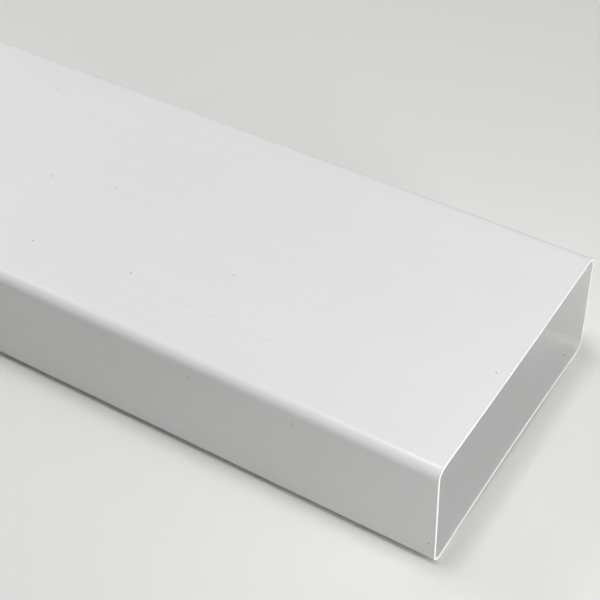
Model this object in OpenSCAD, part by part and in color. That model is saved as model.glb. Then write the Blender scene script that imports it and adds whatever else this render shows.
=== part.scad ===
// Rectangular duct: a straight length of flat ventilation channel, extruded in one
// piece from rigid white plastic and sawn square at both ends.
// Millimetres. X runs along the length, Y across the width, and Z up from the floor.

/* [Stock] */
// Outside width of the duct
duct_w = 222; // [180:1:260]
// Outside height of the duct
duct_h = 89; // [60:1:120]
// Length between the two saw cuts
duct_l = 1000; // [300:50:3000]
// Thickness of the wall, the same all the way round
wall_t = 2; // [1.5:0.1:3]

/* [Long edges] */
// Outside radius of the four rounded long edges
edge_r = 8; // [5:0.5:20]

/* [Wide walls] */
// How far the middle of the top wall has sunk inwards
top_hollow = 0.8; // [0:0.1:4]
// How far the middle of the bottom wall has drawn up inwards
bottom_hollow = 2.2; // [0:0.1:4]
// Width of the flat strip that stays between a rounded edge and a hollow
land_w = 10; // [4:1:20]

/* [Hidden] */
// Number of sides in a drawn circle: the rounded edges, and the far larger hollows
edge_fn = 96;
hollow_fn = 720;
// Width of each hollow, from land to land
hollow_w = duct_w - 2 * (edge_r + land_w);

// Radius of the arc that spans hollow_w and is "depth" deep in its middle
function hollow_r(depth) = pow(hollow_w, 2) / (8 * depth) + depth / 2;

// Rectangle on the floor line with four rounded corners
module rounded_outline(w, h, r) {
    translate([-w / 2, r]) square([w, h - 2 * r]);
    translate([-w / 2 + r, 0]) square([w - 2 * r, h]);
    for (side = [-1, 1], z = [r, h - r])
        translate([side * (w / 2 - r), z]) circle(r = r, $fn = edge_fn);
}

// Outline of the section, moved inwards by "inset": 0 is the outer skin of the wall
// and wall_t its inner skin. Both hollows keep their centres, so the wall stays even.
module skin(inset) {
    translate([0, inset])
        difference() {
            rounded_outline(duct_w - 2 * inset, duct_h - 2 * inset, edge_r - inset);
            if (bottom_hollow > 0)
                translate([0, bottom_hollow - hollow_r(bottom_hollow) - inset])
                    circle(r = hollow_r(bottom_hollow) + inset, $fn = hollow_fn);
            if (top_hollow > 0)
                translate([0, duct_h - top_hollow + hollow_r(top_hollow) - inset])
                    circle(r = hollow_r(top_hollow) + inset, $fn = hollow_fn);
        }
}

// The whole object: the wall's section run along the length
module duct() {
    color("whitesmoke")
        rotate([90, 0, 90])
            linear_extrude(height = duct_l, center = true)
                difference() {
                    skin(0);
                    skin(wall_t);
                }
}

duct();
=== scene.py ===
import math

import bpy
from mathutils import Matrix, Vector


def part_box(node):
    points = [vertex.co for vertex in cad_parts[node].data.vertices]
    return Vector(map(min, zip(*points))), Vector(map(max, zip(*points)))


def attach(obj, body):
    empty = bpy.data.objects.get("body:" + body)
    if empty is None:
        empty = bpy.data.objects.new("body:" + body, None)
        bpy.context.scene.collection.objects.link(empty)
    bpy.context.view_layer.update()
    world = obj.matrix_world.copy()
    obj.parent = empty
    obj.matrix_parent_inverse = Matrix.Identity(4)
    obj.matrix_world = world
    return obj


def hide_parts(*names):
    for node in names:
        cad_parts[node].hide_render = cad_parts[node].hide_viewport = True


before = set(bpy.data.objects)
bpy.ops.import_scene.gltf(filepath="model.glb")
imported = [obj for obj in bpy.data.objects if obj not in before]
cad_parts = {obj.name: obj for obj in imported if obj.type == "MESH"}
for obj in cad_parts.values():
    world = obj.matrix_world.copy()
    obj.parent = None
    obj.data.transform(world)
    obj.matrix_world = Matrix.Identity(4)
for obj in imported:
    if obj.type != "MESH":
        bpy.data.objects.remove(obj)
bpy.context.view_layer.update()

# The duct: one length of flat ventilation channel in rigid white PVC. The plastic is pushed
# through a die, drawn through a cooled sizing block that leaves the outside smooth and
# slightly glossy, and sawn square at both ends. The wall is 2 mm thick all the way round.
low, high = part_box("duct")
LENGTH, WIDTH, HEIGHT = high - low
WALL = 0.002
EDGE_RADIUS = 0.008  # of the four rounded long edges, measured outside
TOP_HOLLOW = 0.0008  # how far the middle of each wide wall has sunk inwards
BOTTOM_HOLLOW = 0.0022
LAND = 0.010  # flat strip between a rounded edge and a hollow
LAND_BLEND = 0.008  # half the stretch over which a hollow runs out into its land
RIPPLE = 0.00005  # lengthways unevenness left by the haul-off rollers, always inwards
SAW_BREAK = 0.00025  # the saw's burr is wiped off, which rounds the cut edges this much

EDGE_STEPS = 16  # around each rounded edge
WIDE_STEPS = 56  # across each wide wall
SIDE_STEPS = 14  # up each narrow wall
BREAK_STEPS = 3  # around each cut edge
STATION = 0.012  # spacing of the sections along the length
CLOSE_STATIONS = (0.0, 0.0004, 0.002, 0.006)  # the ones that hold the shading at a cut

FLAT_HALF = WIDTH / 2 - EDGE_RADIUS  # half of a wide wall, between its rounded edges
HOLLOW_HALF = FLAT_HALF - LAND


def sink(x, y, depth):
    """How far a wide wall lies inside its flat plane, at x along and y across the duct."""
    inside = HOLLOW_HALF - abs(y)
    if abs(inside) < LAND_BLEND:
        inside = (inside + LAND_BLEND) ** 2 / (4 * LAND_BLEND)
    share = max(inside, 0.0) / HOLLOW_HALF
    fade = 1 - (y / FLAT_HALF) ** 6
    ripple = 1 + 0.6 * math.sin(x * 41 + y * 9) + 0.4 * math.sin(x * 67 - y * 23 + 2.0)
    return depth * share * (2 - share) + RIPPLE * fade * ripple


def bend_in(x, z):
    """How far a narrow wall lies inside its flat plane, at x along and z up the duct."""
    fade = 1 - ((z - HEIGHT / 2) / (HEIGHT / 2 - EDGE_RADIUS)) ** 4
    return RIPPLE * fade * (1 + math.sin(x * 53 + z * 31))


def section(x, inset):
    """The wall's outline at x, moved inwards: 0 is the outer skin and WALL the inner one."""
    radius = EDGE_RADIUS - inset
    points = []

    def corner(y, z, start):
        for step in range(EDGE_STEPS):
            angle = math.radians(start + 90 * step / EDGE_STEPS)
            points.append((y + radius * math.cos(angle), z + radius * math.sin(angle)))

    corner(FLAT_HALF, EDGE_RADIUS, -90)
    for step in range(SIDE_STEPS):
        z = EDGE_RADIUS + (HEIGHT - 2 * EDGE_RADIUS) * step / SIDE_STEPS
        points.append((WIDTH / 2 - inset - bend_in(x, z), z))
    corner(FLAT_HALF, HEIGHT - EDGE_RADIUS, 0)
    for step in range(WIDE_STEPS):
        y = FLAT_HALF * (1 - 2 * step / WIDE_STEPS)
        points.append((y, HEIGHT - inset - sink(x, y, TOP_HOLLOW)))
    corner(-FLAT_HALF, HEIGHT - EDGE_RADIUS, 90)
    for step in range(SIDE_STEPS):
        z = HEIGHT - EDGE_RADIUS - (HEIGHT - 2 * EDGE_RADIUS) * step / SIDE_STEPS
        points.append((inset - WIDTH / 2 + bend_in(x, z), z))
    corner(-FLAT_HALF, EDGE_RADIUS, 180)
    for step in range(WIDE_STEPS):
        y = FLAT_HALF * (2 * step / WIDE_STEPS - 1)
        points.append((y, inset + sink(x, y, BOTTOM_HOLLOW)))
    return [(x, y, z) for y, z in points]


def wall_rings():
    """(x, inset) of every ring of points: along the outer skin, round the cut, back inside."""
    end = LENGTH / 2 - SAW_BREAK
    near = [end - s for s in CLOSE_STATIONS]
    count = round(2 * near[-1] / STATION)
    between = [near[-1] * (2 * i / count - 1) for i in range(1, count)]
    along = [-x for x in near] + between + near[::-1]
    turns = [math.pi / 2 * i / BREAK_STEPS for i in range(1, BREAK_STEPS + 1)]
    outer_break = [
        (end + SAW_BREAK * math.sin(a), SAW_BREAK * (1 - math.cos(a))) for a in turns
    ]
    cut = outer_break + [(LENGTH / 2, WALL / 2)]
    cut += [(x, WALL - inset) for x, inset in outer_break[::-1]]
    rings = [(x, 0.0) for x in along] + cut
    return rings + [(-x, WALL - inset) for x, inset in rings]


def srgb(code):
    """An sRGB hex colour as the linear RGBA that a shader takes."""
    parts = [int(code[i : i + 2], 16) / 255 for i in (1, 3, 5)]
    linear = [c / 12.92 if c <= 0.04045 else ((c + 0.055) / 1.055) ** 2.4 for c in parts]
    return (*linear, 1.0)


def add(tree, kind, inputs=None, **settings):
    """Adds one node. inputs holds values, or the outputs to link; settings are its own."""
    node = tree.nodes.new("ShaderNode" + kind)
    for name, value in settings.items():
        setattr(node, name, value)
    for name, value in (inputs or {}).items():
        if isinstance(value, bpy.types.NodeSocket):
            tree.links.new(value, node.inputs[name])
        else:
            node.inputs[name].default_value = value
    return node


def new_material(name):
    """An empty material with its output and one Principled shader."""
    material = bpy.data.materials.new(name)
    material.use_nodes = True
    tree = material.node_tree
    tree.nodes.clear()
    shader = add(tree, "BsdfPrincipled")
    add(tree, "OutputMaterial", {"Surface": shader.outputs["BSDF"]})
    return material, tree, shader


MM = 1000.0  # a pattern's scale is features per metre, so MM / size is a size in mm
PVC_IOR = 1.53


def extruded_pvc(name, colour, roughness, line_depth):
    """Rigid white PVC as it leaves the sizing block: an even, lightly glossy skin with
    faint lines along the length, a fine orange peel, rub marks and a few dust specks."""
    material, tree, shader = new_material(name)
    place = add(tree, "TexCoord").outputs["Object"]

    # Lines drawn by the die, about 1.5 mm apart and a good part of a metre long
    stretched = add(
        tree, "Mapping", {"Vector": place, "Scale": (2.0, MM / 1.5, MM / 1.5)}
    )
    lines = add(
        tree, "TexNoise", {"Vector": stretched.outputs[0], "Scale": 1.0, "Detail": 3.0}
    ).outputs["Fac"]
    # Patches 90 mm across, where the wall cooled at a slightly different rate
    patches = add(
        tree, "TexNoise", {"Vector": place, "Scale": MM / 90, "Detail": 2.0}
    ).outputs["Fac"]
    # Orange peel of the cooled skin, 3 mm across
    peel = add(
        tree, "TexNoise", {"Vector": place, "Scale": MM / 3, "Detail": 2.0}
    ).outputs["Fac"]
    # Rub marks from handling: hairlines slanted across the length, kept to some patches
    slanted = add(
        tree,
        "Mapping",
        {"Vector": place, "Rotation": (0.3, 0.2, 0.5), "Scale": (MM / 40, MM / 0.5, MM / 0.5)},
    )
    hairs = add(
        tree, "TexNoise", {"Vector": slanted.outputs[0], "Scale": 1.0, "Detail": 1.0}
    ).outputs["Fac"]
    hair_mask = add(
        tree,
        "MapRange",
        {"Value": hairs, "From Min": 0.70, "From Max": 0.76},
    ).outputs[0]
    rubbed = add(
        tree, "MapRange", {"Value": patches, "From Min": 0.50, "From Max": 0.62}
    ).outputs[0]
    rubs = add(
        tree, "Math", {0: hair_mask, 1: rubbed}, operation="MULTIPLY"
    ).outputs[0]
    # Dust specks of up to 1.3 mm: small balls round the points of 16 mm cells, most skipped
    cells = add(
        tree, "TexVoronoi", {"Vector": place, "Scale": MM / 16, "Randomness": 1.0}
    )
    speck_near = add(
        tree,
        "MapRange",
        {"Value": cells.outputs["Distance"], "From Min": 0.024, "From Max": 0.042,
         "To Min": 1.0, "To Max": 0.0},
    ).outputs[0]
    chance = add(tree, "SeparateColor", {"Color": cells.outputs["Color"]}).outputs[0]
    chosen = add(
        tree, "Math", {0: chance, 1: 0.72}, operation="GREATER_THAN"
    ).outputs[0]
    specks = add(
        tree, "Math", {0: speck_near, 1: chosen}, operation="MULTIPLY"
    ).outputs[0]

    pale, dull = srgb(colour), srgb("#E0E0DD")
    tint = add(
        tree, "MapRange", {"Value": patches, "From Min": 0.35, "From Max": 0.65,
                           "To Min": 0.0, "To Max": 0.18}
    ).outputs[0]
    base = add(
        tree, "Mix", {0: tint, 6: pale, 7: dull}, data_type="RGBA"
    ).outputs[2]
    streak = add(
        tree, "MapRange", {"Value": lines, "From Min": 0.35, "From Max": 0.7,
                           "To Min": 0.0, "To Max": 0.22}
    ).outputs[0]
    base = add(
        tree, "Mix", {0: streak, 6: base, 7: srgb("#DEDFDD")}, data_type="RGBA"
    ).outputs[2]
    base = add(
        tree, "Mix", {0: specks, 6: base, 7: srgb("#6E6A63")}, data_type="RGBA"
    ).outputs[2]
    tree.links.new(base, shader.inputs["Base Color"])

    gloss = add(
        tree, "MapRange", {"Value": lines, "From Min": 0.3, "From Max": 0.7,
                           "To Min": roughness - 0.03, "To Max": roughness + 0.05}
    ).outputs[0]
    gloss = add(
        tree, "Math", {0: rubs, 1: 0.12, 2: gloss}, operation="MULTIPLY_ADD"
    ).outputs[0]
    tree.links.new(gloss, shader.inputs["Roughness"])
    shader.inputs["IOR"].default_value = PVC_IOR

    peel_bump = add(
        tree, "Bump", {"Height": peel, "Distance": 0.000006}
    ).outputs[0]
    line_bump = add(
        tree, "Bump", {"Height": lines, "Distance": line_depth, "Normal": peel_bump}
    ).outputs[0]
    rub_bump = add(
        tree, "Bump", {"Height": rubs, "Distance": 0.000008, "Normal": line_bump},
        invert=True,
    ).outputs[0]
    tree.links.new(rub_bump, shader.inputs["Normal"])
    return material


def sawn_pvc(name):
    """The same PVC where the saw went through it: chalky, whiter and matt, with the
    blade's fine arcs across the 2 mm edge."""
    material, tree, shader = new_material(name)
    place = add(tree, "TexCoord").outputs["Object"]
    # The blade came up from below the duct, so its tooth marks are arcs round its axis
    blade = add(
        tree, "Mapping", {"Vector": place, "Location": (0.0, 0.04, 0.16)}
    )
    marks = add(
        tree,
        "TexWave",
        {"Vector": blade.outputs[0], "Scale": 0.314 * MM / 1.1, "Distortion": 1.5,
         "Detail": 2.0, "Detail Scale": 2.0},
        wave_type="RINGS",
        rings_direction="X",
    ).outputs["Fac"]
    grain = add(
        tree, "TexNoise", {"Vector": place, "Scale": MM / 0.4, "Detail": 2.0}
    ).outputs["Fac"]
    torn = add(
        tree, "Mix", {0: grain, 6: srgb("#DEDEDC"), 7: srgb("#E4E4E3")}, data_type="RGBA"
    ).outputs[2]
    scored = add(
        tree, "Mix", {0: marks, 6: torn, 7: srgb("#D9D9D7")}, data_type="RGBA"
    ).outputs[2]
    tree.links.new(scored, shader.inputs["Base Color"])
    rough = add(
        tree, "MapRange", {"Value": grain, "To Min": 0.52, "To Max": 0.74}
    ).outputs[0]
    tree.links.new(rough, shader.inputs["Roughness"])
    shader.inputs["IOR"].default_value = PVC_IOR
    grain_bump = add(
        tree, "Bump", {"Height": grain, "Distance": 0.00003}
    ).outputs[0]
    mark_bump = add(
        tree, "Bump", {"Height": marks, "Distance": 0.00004, "Normal": grain_bump}
    ).outputs[0]
    tree.links.new(mark_bump, shader.inputs["Normal"])
    return material


OUTSIDE, INSIDE, SAWN = range(3)  # the duct's materials, in the order of its slots


def extruded_duct():
    """The whole duct as one closed skin: rings of points along the outside, round each
    cut edge and back along the inside."""
    rings = wall_rings()
    points = [p for x, inset in rings for p in section(x, inset)]
    around = len(points) // len(rings)
    faces, finishes = [], []
    for ring, (_, inset) in enumerate(rings):
        after = (ring + 1) % len(rings)
        insets = (inset, rings[after][1])
        finish = OUTSIDE if max(insets) == 0 else INSIDE if min(insets) == WALL else SAWN
        for i in range(around):
            j = (i + 1) % around
            a, b = ring * around, after * around
            faces.append((a + i, a + j, b + j, b + i))
            finishes.append(finish)
    mesh = bpy.data.meshes.new("duct_channel")
    mesh.from_pydata(points, [], faces)
    mesh.polygons.foreach_set("material_index", finishes)
    mesh.polygons.foreach_set("use_smooth", [True] * len(faces))
    mesh.materials.append(extruded_pvc("extruded_pvc_outside", "#E9EAEA", 0.30, 0.000004))
    mesh.materials.append(extruded_pvc("extruded_pvc_inside", "#E7E8E7", 0.38, 0.000007))
    mesh.materials.append(sawn_pvc("sawn_pvc"))
    mesh.update()
    channel = bpy.data.objects.new("duct_channel", mesh)
    bpy.context.scene.collection.objects.link(channel)
    return channel


channel = extruded_duct()
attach(channel, "root")
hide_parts("duct")


# The floor: a sheet of pale, faintly glossy board, as a studio table is covered with. It
# is only there to carry the duct's shadow and a soft reflection of its open end.
FLOOR_HALF = 6.0


def coated_board():
    """Coated white board: pale grey with a very slight wave that softens reflections."""
    material, tree, shader = new_material("coated_board")
    place = add(tree, "TexCoord").outputs["Object"]
    cloud = add(
        tree, "TexNoise", {"Vector": place, "Scale": MM / 250, "Detail": 2.0}
    ).outputs["Fac"]
    colour = add(
        tree, "Mix", {0: cloud, 6: srgb("#E6E6E4"), 7: srgb("#E3E3E0")}, data_type="RGBA"
    ).outputs[2]
    tree.links.new(colour, shader.inputs["Base Color"])
    wave = add(
        tree, "TexNoise", {"Vector": place, "Scale": MM / 120, "Detail": 1.0}
    ).outputs["Fac"]
    bump = add(tree, "Bump", {"Height": wave, "Distance": 0.0004}).outputs[0]
    tree.links.new(bump, shader.inputs["Normal"])
    shader.inputs["Roughness"].default_value = 0.22
    shader.inputs["IOR"].default_value = 1.45
    return material


floor_mesh = bpy.data.meshes.new("floor")
floor_mesh.from_pydata(
    [(x * FLOOR_HALF, y * FLOOR_HALF, 0.0) for x, y in ((-1, -1), (1, -1), (1, 1), (-1, 1))],
    [],
    [(0, 1, 2, 3)],
)
floor_mesh.materials.append(coated_board())
floor = bpy.data.objects.new("floor", floor_mesh)
bpy.context.scene.collection.objects.link(floor)


# The lights: one soft box right overhead, which leaves hardly any shadow beside the duct, two
# beyond its far end and one beyond the open one, and a small card low before the open end,
# which lights its inside.
def softbox(name, at, aim, size, power):
    """A square lamp facing a point, with its power in watts. The camera doesn't see it."""
    lamp = bpy.data.lights.new(name, "AREA")
    lamp.shape = "SQUARE"
    lamp.size = size
    lamp.energy = power
    box = bpy.data.objects.new(name, lamp)
    box.location = at
    box.rotation_euler = (Vector(aim) - Vector(at)).to_track_quat("-Z", "Y").to_euler()
    box.visible_camera = False
    bpy.context.scene.collection.objects.link(box)


OPEN_END = (LENGTH / 2, 0.0, HEIGHT / 2)
softbox("overhead", (0.29, -0.1, 2.4), (0.29, -0.1, 0.0), 0.65, 27.5)
softbox("high_beyond_far_end", (-2.4, 0.1, 2.6), OPEN_END, 1.2, 25)
softbox("behind_far_end", (-1.8, 0.8, 1.2), OPEN_END, 1.0, 9)
softbox("beyond_open_end", (2.0, 0.0, 1.6), OPEN_END, 1.0, 6.5)
softbox("low_card", (1.22, -0.19, 0.23), OPEN_END, 0.3, 5.4)

# The room beyond the lamps: dim for the light it gives, pale where it is seen or mirrored
world = bpy.data.worlds.new("pale_room")
bpy.context.scene.world = world
world.use_nodes = True
world.node_tree.nodes.clear()
path = add(world.node_tree, "LightPath").outputs
seen = add(
    world.node_tree, "Math",
    {0: path["Is Camera Ray"], 1: path["Is Glossy Ray"]}, operation="MAXIMUM",
).outputs[0]
seen = add(
    world.node_tree, "Math",
    {0: seen, 1: path["Is Transmission Ray"]}, operation="MAXIMUM",
).outputs[0]
room = add(
    world.node_tree, "Mix",
    {0: seen, 6: srgb("#3C3C3C"), 7: srgb("#E0E0DD")}, data_type="RGBA",
).outputs[2]
sky = add(world.node_tree, "Background", {"Color": room})
add(world.node_tree, "OutputWorld", {"Surface": sky.outputs[0]})


# The camera: the photograph's long lens, looking down on the open end from the front
CAMERA_AT = (0.7337, -0.5985, 0.7514)
AZIMUTH, ELEVATION, ROLL = (math.radians(a) for a in (33.80, 43.97, -2.31))
LENS = 86.90  # mm on a sensor 36 mm wide

camera_data = bpy.data.cameras.new("camera")
camera_data.lens = LENS
camera_data.clip_start = 0.01
camera = bpy.data.objects.new("camera", camera_data)
camera.matrix_world = (
    Matrix.Translation(CAMERA_AT)
    @ Matrix.Rotation(AZIMUTH, 4, "Z")
    @ Matrix.Rotation(math.pi / 2 - ELEVATION, 4, "X")
    @ Matrix.Rotation(ROLL, 4, "Z")
)
bpy.context.scene.collection.objects.link(camera)
bpy.context.scene.camera = camera
bpy.context.scene.view_settings.view_transform = "Standard"
